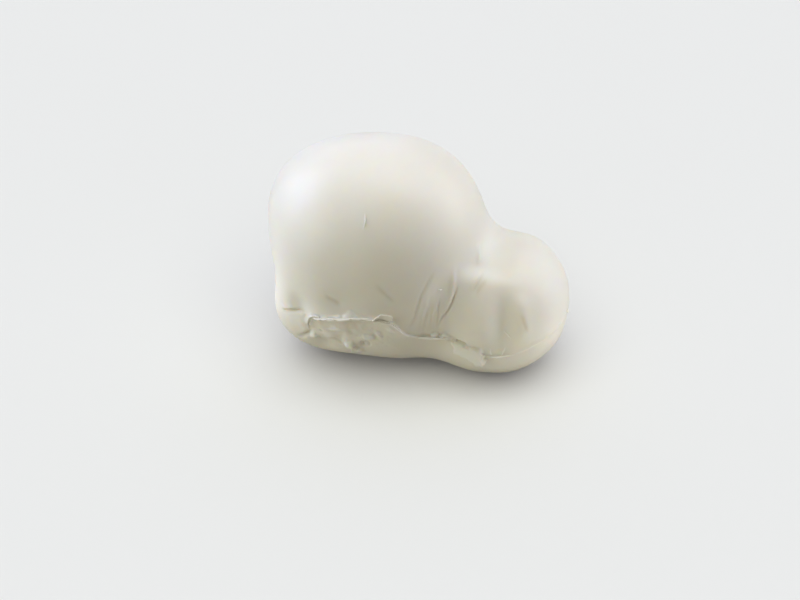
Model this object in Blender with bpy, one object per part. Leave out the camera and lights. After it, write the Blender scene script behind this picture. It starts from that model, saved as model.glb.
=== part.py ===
"""Scamorza: a pear-shaped stretched-curd cheese lying on its side, as one solid.

Frame: metres, +Z up. The origin is on the floor, under the middle of the bounding box.
+X runs from the round body to the small head. The side towards -Y shows the torn seam.

The cheese was pressed in a mould of two halves, so a seam runs all the way round it, with
the thin lip of curd that was squeezed out between them. The solid is a UV sphere that lies
along X. Each of its vertices is sent out from a spine inside the cheese until it meets the
form, and the sphere's segments are shared between the half above the seam and the half
below it, closest together at the seam itself. The form is two superellipsoids, body and
head, run together by a smooth neck. Sags are pressed in along the outward direction, then
the relief of the seam, the torn band and the folds, and the underside is set flat where
the cheese rests on the floor.

Sizes in the constants and in the shape functions are in millimetres.
"""

import math
from typing import NamedTuple

import bmesh
import bpy
import numpy as np
from mathutils import Matrix

MM = 0.001

# Mesh fineness: rings along the cheese, and segments round it above and below the seam.
RINGS = 58
SEGMENTS_ABOVE = 50
SEGMENTS_BELOW = 42
# How much closer together the segments are at the seam than on average.
SEAM_GATHER = 0.6


class Lump(NamedTuple):
    """A superellipsoid; a squareness of 2 is a plain ellipsoid."""

    centre: tuple
    radii: tuple
    squareness: float


class Dab(NamedTuple):
    """A soft swelling, or with a negative height a dent."""

    at: tuple
    radius: float
    height: float


class Fold(NamedTuple):
    """A line pressed into the skin, or with a negative depth raised on it."""

    path: tuple
    width: float
    depth: float


# The form: body and head, and how far their skins run into each other at the neck.
BODY = Lump((-15.7, 0.0, 41.5), (43.2, 42.0, 44.0), 2.2)
HEAD = Lump((32.9, 0.0, 24.4), (26.8, 28.2, 25.4), 2.15)
NECK_BLEND = 12.0
# The spine that the skin is sent out from lies at the seam's height.
SPINE_REAR = (-15.7, 0.0, 33.0)
SPINE_FRONT = (32.9, 0.0, 25.5)
FARTHEST_SKIN = 110.0

SAGS = (
    Dab((19.9, 19.8, 52.8), 18.0, -1.4),  # shoulder, drawn in above the neck
    Dab((-52.1, 4.4, 63.7), 18.0, 2.7),  # upper rear, swollen
    Dab((-55.0, -16.7, 34.2), 18.0, -6.0),  # rear wall, pressed flat
    Dab((-45.2, -23.4, 19.8), 16.0, 3.5),  # heel
    Dab((-12.2, -23.4, 4.6), 18.0, -3.2),  # belly, lifted from the floor
    Dab((18.3, -22.0, 6.0), 13.0, 0.8),  # root of the neck
    Dab((35.3, -20.0, 5.0), 13.0, -1.3),  # throat, under the front of the head
    Dab((-26.6, 20.5, 75.2), 22.0, -1.6),  # crown, settled
    Dab((37.3, 17.0, 45.0), 14.0, 2.6),  # crown of the head
    Dab((59.3, 5.0, 22.0), 13.0, -0.9),  # tip of the head
    Dab((51.3, -8.7, 5.5), 13.0, -2.2),  # underside of the head
)

# The seam: its height over the floor against X, on the side towards -Y and on the far side.
SEAM_NEAR = (
    (-60.0, 32.0),
    (-40.0, 31.5),
    (-28.0, 32.5),
    (-20.0, 34.5),
    (-11.0, 36.7),
    (-3.0, 36.6),
    (2.5, 35.0),
    (7.0, 29.2),
    (12.0, 26.4),
    (20.0, 25.0),
    (30.0, 24.2),
    (36.5, 20.6),
    (42.0, 20.6),
    (48.0, 22.8),
    (54.0, 25.2),
    (60.0, 26.5),
)
SEAM_FAR = (
    (-60.0, 32.0),
    (-40.0, 33.5),
    (-15.0, 36.5),
    (3.0, 34.0),
    (14.0, 27.5),
    (26.0, 24.0),
    (42.0, 22.0),
    (54.0, 24.5),
    (60.0, 26.5),
)
# Over this width in Y one height passes into the other, at the rear and at the tip.
SEAM_SIDES = 24.0
# How strongly the squeezed-out lip stands, from 0 to 1, against X.
LIP_NEAR = (
    (-60.0, 0.2),
    (-38.0, 0.15),
    (-29.0, 0.5),
    (-24.0, 1.0),
    (2.0, 1.0),
    (10.0, 0.55),
    (34.0, 0.5),
    (46.0, 0.45),
    (60.0, 0.4),
)
LIP_FAR = ((-60.0, 0.2), (-35.0, 0.5), (-10.0, 0.9), (14.0, 0.5), (60.0, 0.4))
LIP_HEIGHT = 1.5
LIP_WIDTH = 1.1
# The lower half sits back under the lip: how deep, how soon below it and how far down.
RECESS_DEPTH = 1.3
RECESS_START = 1.4
RECESS_REACH = 9.0

# The torn band under the lip: crumbly lumps and the pits between them.
TORN_BAND = (
    Dab((-12.9, -38.2, 22.6), 3.2, 1.7),
    Dab((-10.6, -36.4, 19.2), 2.8, 1.2),
    Dab((-5.5, -39.5, 27.4), 3.0, 1.3),
    Dab((-0.8, -38.3, 28.4), 2.6, 1.0),
    Dab((-16.8, -39.7, 26.2), 3.0, 1.4),
    Dab((-21.4, -40.1, 28.0), 2.8, 1.0),
    Dab((-29.4, -37.2, 22.4), 2.8, 1.4),
    Dab((-8.3, -37.9, 22.6), 2.2, -1.9),
    Dab((-25.3, -39.4, 26.5), 2.6, -1.4),
    Dab((-18.0, -38.0, 21.6), 2.6, -1.3),
    Dab((-26.0, -35.4, 17.6), 4.5, -2.0),
)
# The torn flap under the throat.
TORN_FLAP = (
    Dab((25.3, -27.5, 21.4), 2.8, 1.1),
    Dab((29.5, -27.0, 19.8), 3.4, 1.5),
    Dab((33.2, -27.0, 18.6), 2.8, 1.3),
)
HEEL_DIMPLE = Dab((-33.9, -38.8, 37.5), 5.5, -1.7)

FOLDS = (
    # The lip's end, curled down beside the heel.
    Fold(((-26.5, -40.5, 32.6), (-29.4, -39.5, 30.2), (-31.4, -38.0, 25.6)), 1.4, -1.3),
    # The tear between the heel and the torn band.
    Fold(((-37.0, -32.0, 15.0), (-33.4, -35.1, 19.3), (-29.6, -38.3, 25.6)), 1.4, 2.0),
    # The heel's line and the pale groove above the lip's end.
    Fold(((-42.0, -33.6, 28.5), (-36.3, -37.3, 31.0), (-31.0, -39.7, 33.0)), 1.0, 0.6),
    Fold(((-26.9, -40.8, 47.0), (-26.6, -41.0, 41.0), (-27.6, -40.5, 35.6)), 2.4, 0.7),
    # Short slanting creases on the body.
    Fold(((-21.6, -41.8, 43.3), (-15.9, -42.0, 41.0)), 1.1, 0.7),
    Fold(((-2.5, -39.9, 51.0), (3.4, -38.6, 44.3)), 1.3, 0.6),
    # The fold that wraps the neck: its two edges and the trough between them.
    Fold(((16.8, -27.6, 54.5), (13.5, -32.3, 48.6), (11.1, -34.5, 40.3), (7.3, -35.8, 31.0)), 1.3, 1.1),
    Fold(((22.1, -20.0, 54.1), (22.6, -24.0, 45.5), (21.0, -28.0, 35.2), (18.2, -29.3, 29.0)), 1.2, 1.2),
    Fold(((20.4, -24.6, 49.5), (19.8, -27.3, 40.0), (17.6, -29.9, 32.0)), 1.6, -0.7),
    Fold(((18.8, -25.6, 52.0), (16.3, -30.6, 42.0), (12.8, -32.0, 32.0)), 4.6, 0.9),
    # Pinches and creases of the head.
    Fold(((25.6, -7.1, 56.3), (27.0, -9.9, 53.2), (27.9, -14.0, 50.3)), 1.2, -0.5),
    Fold(((28.8, -17.4, 47.3), (27.2, -21.2, 44.5)), 1.2, 0.7),
    Fold(((39.6, -17.0, 45.0), (41.0, -23.0, 39.5), (41.5, -25.2, 34.0), (41.1, -27.0, 26.4)), 4.6, 1.0),
    Fold(((46.6, -21.6, 36.4), (48.8, -22.5, 31.2)), 1.1, 0.7),
    # The slit over the torn flap.
    Fold(((24.0, -27.9, 23.9), (29.0, -28.0, 23.3)), 1.1, 1.6),
    # The same fold where it wraps the far side of the neck.
    Fold(((18.0, 26.0, 52.0), (13.6, 32.0, 43.0), (10.0, 34.5, 33.0)), 1.5, 0.9),
    Fold(((24.6, 20.5, 49.0), (23.4, 25.0, 40.0), (20.0, 28.6, 30.0)), 1.3, 0.9),
)

CHEESE_COLOUR = (0.83, 0.79, 0.69, 1.0)
CHEESE_ROUGHNESS = 0.42


def smooth_step(t: np.ndarray) -> np.ndarray:
    """Rise from 0 to 1 as t does, level at both ends."""
    t = np.clip(t, 0.0, 1.0)
    return t * t * (3.0 - 2.0 * t)


def along_knots(knots: tuple, x: np.ndarray) -> np.ndarray:
    """Smooth curve through (x, value) knots, cubic between each two of them."""
    places, values = np.array(knots).T
    slopes = np.gradient(values, places)
    i = np.clip(np.searchsorted(places, x) - 1, 0, len(places) - 2)
    span = places[i + 1] - places[i]
    t = np.clip((x - places[i]) / span, 0.0, 1.0)
    ease = t * t * (3.0 - 2.0 * t)
    leaving = t * (1.0 - t) ** 2 * slopes[i]
    arriving = t * t * (1.0 - t) * slopes[i + 1]
    return values[i] * (1.0 - ease) + values[i + 1] * ease + span * (leaving - arriving)


def lump_field(points: np.ndarray, lump: Lump) -> np.ndarray:
    """Roughly the distance outside a superellipsoid, negative inside it."""
    scaled = np.abs((points - lump.centre) / lump.radii)
    reach = (scaled**lump.squareness).sum(axis=-1) ** (1.0 / lump.squareness)
    return (reach - 1.0) * float(np.mean(lump.radii))


def form_field(points: np.ndarray) -> np.ndarray:
    """Body and head run together: the lesser distance, lowered where the two are close."""
    body = lump_field(points, BODY)
    head = lump_field(points, HEAD)
    near = np.clip(NECK_BLEND - np.abs(body - head), 0.0, None) / NECK_BLEND
    return np.minimum(body, head) - near * near * NECK_BLEND / 4.0


def outward(points: np.ndarray) -> np.ndarray:
    """Unit direction in which the form's distance grows fastest."""
    step = 0.05
    slope = np.empty_like(points)
    for axis in range(3):
        shift = np.zeros(3)
        shift[axis] = step
        slope[..., axis] = form_field(points + shift) - form_field(points - shift)
    return slope / np.linalg.norm(slope, axis=-1, keepdims=True)


def bare_skin(polar: np.ndarray, turn: np.ndarray) -> np.ndarray:
    """Where rays from the spine leave the form, found by halving the interval.

    polar is the ray's angle from +X, and turn its angle round X from -Y towards +Z. The
    ray's start moves along the spine from rear to front as polar falls.
    """
    forward = smooth_step((0.75 - polar / math.pi) / 0.6)
    rear = np.array(SPINE_REAR)
    starts = rear + (np.array(SPINE_FRONT) - rear) * forward[..., None]
    rays = np.stack(
        (
            np.cos(polar),
            -np.sin(polar) * np.cos(turn),
            np.sin(polar) * np.sin(turn),
        ),
        axis=-1,
    )
    low = np.zeros(polar.shape)
    high = np.full(polar.shape, FARTHEST_SKIN)
    for _ in range(36):
        middle = (low + high) / 2.0
        inside = form_field(starts + rays * middle[..., None]) < 0.0
        low = np.where(inside, middle, low)
        high = np.where(inside, high, middle)
    return starts + rays * low[..., None]


def far_side(points: np.ndarray) -> np.ndarray:
    """0 on the side towards -Y, 1 on the far side, passing smoothly between them."""
    return smooth_step(0.5 + points[..., 1] / SEAM_SIDES)


def above_seam(points: np.ndarray) -> np.ndarray:
    """Height of each point above the seam, negative below it."""
    x = points[..., 0]
    far = far_side(points)
    seam = along_knots(SEAM_NEAR, x) * (1.0 - far) + along_knots(SEAM_FAR, x) * far
    return points[..., 2] - seam


def seam_turn(polar: np.ndarray, middle_turn: float) -> np.ndarray:
    """The turn at which each ring meets the seam, near middle_turn.

    From the skin at the guessed turn, the angle that the seam's height still asks for is
    added, a few times over.
    """
    steepest = 0.6
    upward = math.cos(middle_turn)
    turn = np.full(polar.shape, middle_turn)
    for _ in range(8):
        points = bare_skin(polar, turn)
        reach = np.maximum(np.abs(points[..., 1]), 2.0)
        turn = turn - upward * above_seam(points) / reach * 0.8
        turn = np.clip(turn, middle_turn - steepest, middle_turn + steepest)
    return turn


def gathered(fraction: np.ndarray) -> np.ndarray:
    """Move evenly spaced fractions towards 0 and 1, where the seam is."""
    return fraction - SEAM_GATHER * np.sin(math.tau * fraction) / math.tau


def shared_turn(polar: np.ndarray, segment: np.ndarray) -> np.ndarray:
    """The turn of each segment: first those above the seam, then those below it."""
    near = seam_turn(polar, 0.0)
    far = seam_turn(polar, math.pi)
    over = gathered(np.clip(segment / SEGMENTS_ABOVE, 0.0, 1.0))
    under = gathered(np.clip((segment - SEGMENTS_ABOVE) / SEGMENTS_BELOW, 0.0, 1.0))
    return near + (far - near) * over + (near + math.tau - far) * under


def dab_height(points: np.ndarray, dabs: tuple) -> np.ndarray:
    """Sum of the dabs' bell shapes, by distance from each one's middle."""
    height = np.zeros(points.shape[:-1])
    for dab in dabs:
        distance = ((points - dab.at) ** 2).sum(axis=-1)
        height += dab.height * np.exp(-distance / dab.radius**2)
    return height


def fold_height(points: np.ndarray, fold: Fold) -> np.ndarray:
    """A bell-shaped groove or ridge, by distance from the nearest stretch of its path."""
    nearest = np.full(points.shape[:-1], np.inf)
    for start, end in zip(fold.path, fold.path[1:]):
        run = np.subtract(end, start)
        share = np.clip((points - start) @ run / (run @ run), 0.0, 1.0)
        offset = points - (np.array(start) + share[..., None] * run)
        nearest = np.minimum(nearest, (offset**2).sum(axis=-1))
    return -fold.depth * np.exp(-nearest / fold.width**2)


def seam_relief(points: np.ndarray) -> np.ndarray:
    """The ragged lip along the seam, and the lower half set back under it."""
    x = points[..., 0]
    y = points[..., 1]
    far = far_side(points)
    above = above_seam(points)
    strength = along_knots(LIP_NEAR, x) * (1.0 - far) + along_knots(LIP_FAR, x) * far
    ragged = 1.0 + 0.3 * np.sin(0.61 * x + 0.35 * y) + 0.25 * np.sin(1.43 * x - 0.8 * y)
    lip = LIP_HEIGHT * ragged * np.exp(-((above / LIP_WIDTH) ** 2))
    set_back = smooth_step(-above / RECESS_START) * np.exp(-((above / RECESS_REACH) ** 2))
    return strength * (lip - RECESS_DEPTH * set_back)


def cheese_skin(polar: np.ndarray, segment: np.ndarray) -> np.ndarray:
    """Points of the finished skin in millimetres, for each polar angle and segment."""
    points = bare_skin(polar, shared_turn(polar, segment))
    direction = outward(points)
    points = points + direction * dab_height(points, SAGS)[..., None]
    relief = seam_relief(points) + dab_height(points, TORN_BAND + TORN_FLAP + (HEEL_DIMPLE,))
    for fold in FOLDS:
        relief = relief + fold_height(points, fold)
    points = points + direction * relief[..., None]
    points[..., 2] = np.maximum(points[..., 2], 0.0)
    return points


def cheese_mesh(name: str) -> bpy.types.Mesh:
    """A lying UV sphere whose vertices are carried out to the cheese's skin."""
    segments = SEGMENTS_ABOVE + SEGMENTS_BELOW
    sphere = bmesh.new()
    lying = Matrix.Rotation(math.radians(90.0), 4, "Y")
    bmesh.ops.create_uvsphere(
        sphere, u_segments=segments, v_segments=RINGS, radius=1.0, matrix=lying
    )
    places = np.array([vertex.co for vertex in sphere.verts], dtype=float)
    polar = np.arccos(np.clip(places[:, 0], -1.0, 1.0))
    turn = np.arctan2(places[:, 2], -places[:, 1]) % math.tau
    segment = np.round(turn / math.tau * segments) % segments
    skin = cheese_skin(polar, segment) * MM
    for vertex, place in zip(sphere.verts, skin):
        vertex.co = place
    bmesh.ops.triangulate(sphere, faces=sphere.faces[:])
    bmesh.ops.recalc_face_normals(sphere, faces=sphere.faces[:])
    mesh = bpy.data.meshes.new(name)
    sphere.to_mesh(mesh)
    sphere.free()
    mesh.shade_smooth()
    return mesh


def cheese_material() -> bpy.types.Material:
    """Ivory, slightly moist stretched curd."""
    material = bpy.data.materials.new("cheese")
    material.use_nodes = True
    shader = material.node_tree.nodes["Principled BSDF"]
    shader.inputs["Base Color"].default_value = CHEESE_COLOUR
    shader.inputs["Roughness"].default_value = CHEESE_ROUGHNESS
    shader.inputs["Metallic"].default_value = 0.0
    return material


def main() -> None:
    """Clear the scene and build the cheese."""
    for item in list(bpy.data.objects):
        bpy.data.objects.remove(item)
    mesh = cheese_mesh("scamorza")
    mesh.materials.append(cheese_material())
    bpy.context.scene.collection.objects.link(bpy.data.objects.new("scamorza", mesh))


if __name__ == "__main__":
    main()
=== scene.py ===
"""Scamorza: the dressed cheese on a plain pale studio floor.

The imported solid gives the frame: its box, its floor and its place. The skin repeats the
solid's form at a finer grain and adds what is too fine for it: the ragged lip squeezed out
along the mould seam, the flakes curled from it, the crumbly torn band under it, the torn
flap under the throat and the threads of curd that stick out of the skin.

Shape functions work in millimetres; meshes are made in metres.
"""

import logging
import math
from dataclasses import dataclass, field
from enum import Enum
from typing import Optional

import bpy
import numpy as np
from mathutils import Matrix, Vector


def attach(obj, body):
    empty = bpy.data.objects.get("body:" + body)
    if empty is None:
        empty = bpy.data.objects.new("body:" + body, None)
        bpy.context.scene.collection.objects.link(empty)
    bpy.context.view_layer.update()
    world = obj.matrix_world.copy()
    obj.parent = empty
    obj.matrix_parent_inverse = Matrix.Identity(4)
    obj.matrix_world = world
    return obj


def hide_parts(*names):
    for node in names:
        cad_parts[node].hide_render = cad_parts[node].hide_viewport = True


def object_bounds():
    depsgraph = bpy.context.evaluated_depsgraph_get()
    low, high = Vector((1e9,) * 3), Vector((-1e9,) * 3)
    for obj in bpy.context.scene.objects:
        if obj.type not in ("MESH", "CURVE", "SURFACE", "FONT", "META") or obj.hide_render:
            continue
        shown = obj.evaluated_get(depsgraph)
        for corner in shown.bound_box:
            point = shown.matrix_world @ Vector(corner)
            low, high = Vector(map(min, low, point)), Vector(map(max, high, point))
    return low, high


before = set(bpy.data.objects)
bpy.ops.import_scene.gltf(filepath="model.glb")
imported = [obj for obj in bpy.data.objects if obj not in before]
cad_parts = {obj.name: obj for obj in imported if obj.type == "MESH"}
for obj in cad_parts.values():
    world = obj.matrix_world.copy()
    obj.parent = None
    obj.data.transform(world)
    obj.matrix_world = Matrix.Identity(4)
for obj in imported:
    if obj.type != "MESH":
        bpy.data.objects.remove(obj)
CAD_LOW, CAD_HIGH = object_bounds()

Array = np.ndarray
Plug = bpy.types.NodeSocket

MM = 0.001
NODE = "scamorza"
BODY_NAME = "root"
CREASE_SHADE = "crease_shade_share"
FRESH_AND_LIT = "fresh_and_lit"
DRIFT_SPAN = (0.32, 0.68)
DAMP_SPAN = (0.3, 0.7)
FIBRE_STRETCH = (0.16, 1.0, 0.45)

log = logging.getLogger("scamorza")


# ---------------------------------------------------------------- shape functions


def smooth_step(t: Array) -> Array:
    """Rise from 0 to 1 as t does, level at both ends: 3t^2 - 2t^3."""
    t = np.clip(t, 0.0, 1.0)
    return t * t * (3.0 - 2.0 * t)


def window(x: Array, low: float, high: float, edge: float) -> Array:
    """1 between low and high, falling smoothly to 0 over the edge's width outside them."""
    return smooth_step((x - low) / edge + 1.0) * smooth_step((high - x) / edge + 1.0)


def along_knots(knots: tuple, x: Array) -> Array:
    """Smooth curve through (x, value) knots, a cubic between each two of them.

    Args:
        knots: Pairs of place and value, in rising order of place.
        x: Places to read the curve at; beyond the ends it keeps the end value.

    Returns:
        The curve's value at each place.
    """
    places, values = np.array(knots, dtype=float).T
    slopes = np.gradient(values, places)
    i = np.clip(np.searchsorted(places, x) - 1, 0, len(places) - 2)
    span = places[i + 1] - places[i]
    t = np.clip((x - places[i]) / span, 0.0, 1.0)
    ease = t * t * (3.0 - 2.0 * t)
    leaving = t * (1.0 - t) ** 2 * slopes[i]
    arriving = t * t * (1.0 - t) * slopes[i + 1]
    return values[i] * (1.0 - ease) + values[i + 1] * ease + span * (leaving - arriving)


def unit(vectors: Array) -> Array:
    """Each vector divided by its length."""
    return vectors / np.maximum(np.linalg.norm(vectors, axis=-1, keepdims=True), 1e-9)


def walked(path: Array) -> Array:
    """How far along a path each of its places is."""
    steps = np.linalg.norm(np.diff(path[:, :3], axis=0), axis=1)
    return np.concatenate(([0.0], np.cumsum(steps)))


def drawn(knots: Array, count: int) -> Array:
    """Places evenly spaced along a smooth curve through the knots, in any number of axes.

    Args:
        knots: The knots, one to a row.
        count: How many places to give.

    Returns:
        The places, one to a row.
    """
    reached = walked(knots)
    stops = np.linspace(0.0, reached[-1], count)
    return np.stack([along_knots(tuple(zip(reached, axis)), stops) for axis in knots.T], axis=-1)


def looped(path: Array, count: int) -> Array:
    """Places evenly spaced round a closed polyline.

    Args:
        path: Corners of the polyline, the last not joined to the first.
        count: How many places to give.

    Returns:
        The places, one to a row.
    """
    closed = np.concatenate((path, path[:1]))
    reached = walked(closed)
    stops = np.linspace(0.0, reached[-1], count, endpoint=False)
    return np.stack([np.interp(stops, reached, axis) for axis in closed.T], axis=-1)


@dataclass(frozen=True)
class Grain:
    """Smooth lattice noise between -1 and 1, the same on every run for the same seed."""

    seed: int
    cells: int = 64
    layer_shift: float = 17.3

    def table(self) -> Array:
        """A cube of evenly spread random values."""
        return np.random.default_rng(self.seed).uniform(-1.0, 1.0, (self.cells,) * 3)

    def at(self, points: Array, cell: float) -> Array:
        """Value noise: the lattice's corner values, eased along each axis.

        Args:
            points: Places in millimetres, three to a row.
            cell: Lattice spacing in millimetres.

        Returns:
            One value for each place.
        """
        table = self.table()
        scaled = points / cell
        base = np.floor(scaled)
        ease = smooth_step(scaled - base)
        base = base.astype(int)
        total = np.zeros(points.shape[:-1])
        for corner in np.ndindex(2, 2, 2):
            index = (base + corner) % self.cells
            weight = np.prod(np.where(corner, ease, 1.0 - ease), axis=-1)
            total += weight * table[index[..., 0], index[..., 1], index[..., 2]]
        return total

    def rough(self, points: Array, cell: float, layers: int = 3) -> Array:
        """Layers of the noise, each at half the spacing and half the height of the last.

        Args:
            points: Places in millimetres, three to a row.
            cell: Lattice spacing of the first layer in millimetres.
            layers: How many layers.

        Returns:
            One value for each place.
        """
        total = np.zeros(points.shape[:-1])
        for layer in range(layers):
            shrink = 0.5**layer
            total += shrink * self.at(points + self.layer_shift * layer, cell * shrink)
        return total


@dataclass(frozen=True)
class Lump:
    """A superellipsoid in millimetres; a squareness of 2 is a plain ellipsoid."""

    centre: tuple
    radii: tuple
    squareness: float

    def distance(self, points: Array) -> Array:
        """Roughly the distance outside it: (p-norm of the scaled place - 1) x mean radius.

        Args:
            points: Places in millimetres, three to a row.

        Returns:
            The distance of each place, negative inside.
        """
        scaled = np.abs((points - self.centre) / self.radii)
        reach = (scaled**self.squareness).sum(axis=-1) ** (1.0 / self.squareness)
        return (reach - 1.0) * float(np.mean(self.radii))


@dataclass(frozen=True)
class Dab:
    """A soft swelling, or with a negative height a dent, in millimetres."""

    at: tuple
    radius: float
    height: float

    def rise(self, points: Array) -> Array:
        """Bell curve of the distance d from its middle: height x exp(-d^2 / radius^2)."""
        distance = ((points - self.at) ** 2).sum(axis=-1)
        return self.height * np.exp(-distance / self.radius**2)


@dataclass(frozen=True)
class Fold:
    """A line pressed into the skin, or with a negative depth raised on it."""

    path: tuple
    width: float
    depth: float
    fade: float = 0.3

    def closeness(self, points: Array) -> Array:
        """Bell curve of the distance from the path, fading towards the path's two ends.

        For each stretch of the path the nearest place on it is found; the nearest of all
        gives the distance d and the share s of the whole length: exp(-d^2 / width^2) times
        a rise from s = 0 and a fall to s = 1.

        Args:
            points: Places in millimetres, three to a row.

        Returns:
            The closeness of each place, from 0 to 1.
        """
        lengths = [math.dist(start, end) for start, end in zip(self.path, self.path[1:])]
        nearest = np.full(points.shape[:-1], np.inf)
        reached = np.zeros(points.shape[:-1])
        before = 0.0
        for start, end, length in zip(self.path, self.path[1:], lengths):
            run = np.subtract(end, start)
            share = np.clip((points - start) @ run / (run @ run), 0.0, 1.0)
            offset = points - (np.array(start) + share[..., None] * run)
            distance = (offset**2).sum(axis=-1)
            reached = np.where(distance < nearest, before + share * length, reached)
            nearest = np.minimum(nearest, distance)
            before += length
        share = reached / before
        ends = smooth_step(share / self.fade) * smooth_step((1.0 - share) / self.fade)
        return ends * np.exp(-nearest / self.width**2)

    def rise(self, points: Array) -> Array:
        """The bell curve times the depth, inwards."""
        return -self.depth * self.closeness(points)


@dataclass(frozen=True)
class Crag:
    """A lump with a flat top and steep ragged sides on the near side, or a pit."""

    at: tuple
    reach: tuple
    height: float
    turn: float = 0.0
    edge: float = 0.4
    ragged: float = 0.35
    slope: float = 0.0
    ragged_cell: float = 1.6

    def rise(self, points: Array) -> Array:
        """Plateau in the X and Z plane.

        The place relative to the middle is turned and divided by the two reaches, giving
        the distance d, which noise warps. The height is height x smooth_step((1 - d) /
        edge), and with a slope it grows downwards over the lump.

        Args:
            points: Places in millimetres, three to a row.

        Returns:
            The rise at each place.
        """
        x = points[..., 0] - self.at[0]
        z = points[..., 2] - self.at[1]
        along = (x * math.cos(self.turn) + z * math.sin(self.turn)) / self.reach[0]
        across = (z * math.cos(self.turn) - x * math.sin(self.turn)) / self.reach[1]
        near = points[..., 1] < 0.0
        close = near & (np.abs(along) < 2.0) & (np.abs(across) < 2.0)
        total = np.zeros(points.shape[:-1])
        warp = CRAG_GRAIN.rough(points[close], self.ragged_cell, layers=2)
        distance = np.hypot(along[close], across[close]) * (1.0 + self.ragged * warp)
        tilted = 1.0 - self.slope * across[close]
        total[close] = self.height * tilted * smooth_step((1.0 - distance) / self.edge)
        return total


@dataclass(frozen=True)
class Slab:
    """A torn flat patch on the near side, thin at its top and thick at its lower edge."""

    outline: tuple
    top_height: float
    low_height: float
    edge: float
    ragged: float
    bend: float = 1.0
    ragged_cell: float = 1.8
    margin: float = 2.0

    def rise(self, points: Array) -> Array:
        """Height that grows downwards, cut off over the edge's width at the outline.

        The share of the height that a place has gained is its share of the way down, raised
        to the bend: under 1, most of it is gained near the top.

        For each place the distance to the nearest side of the outline in the X and Z
        plane is taken, as positive where the place lies inside by the crossing rule, and
        noise shifts it.

        Args:
            points: Places in millimetres, three to a row.

        Returns:
            The rise at each place.
        """
        corners = np.array(self.outline)
        low, high = corners.min(axis=0), corners.max(axis=0)
        flat = points[..., [0, 2]]
        near = points[..., 1] < 0.0
        inside_box = (flat > low - self.margin) & (flat < high + self.margin)
        close = near & np.all(inside_box, axis=-1)
        place = flat[close]
        nearest = np.full(len(place), np.inf)
        inside = np.zeros(len(place), dtype=bool)
        for start, end in zip(corners, np.roll(corners, -1, axis=0)):
            run = end - start
            share = np.clip((place - start) @ run / (run @ run), 0.0, 1.0)
            nearest = np.minimum(nearest, np.hypot(*(place - start - share[:, None] * run).T))
            spans = (start[1] > place[:, 1]) != (end[1] > place[:, 1])
            cross = start[0] + (place[:, 1] - start[1]) * run[0] / (run[1] + 1e-9)
            inside ^= spans & (place[:, 0] < cross)
        depth = np.where(inside, nearest, -nearest)
        depth += self.ragged * CRAG_GRAIN.rough(points[close], self.ragged_cell)
        down = (high[1] - place[:, 1]) / (high[1] - low[1])
        gained = np.clip(down, 0.0, 1.0) ** self.bend
        height = self.top_height + (self.low_height - self.top_height) * gained
        total = np.zeros(points.shape[:-1])
        total[close] = height * smooth_step(depth / self.edge)
        return total


CRAG_GRAIN = Grain(41)


# ---------------------------------------------------------------- the cheese's form


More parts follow.
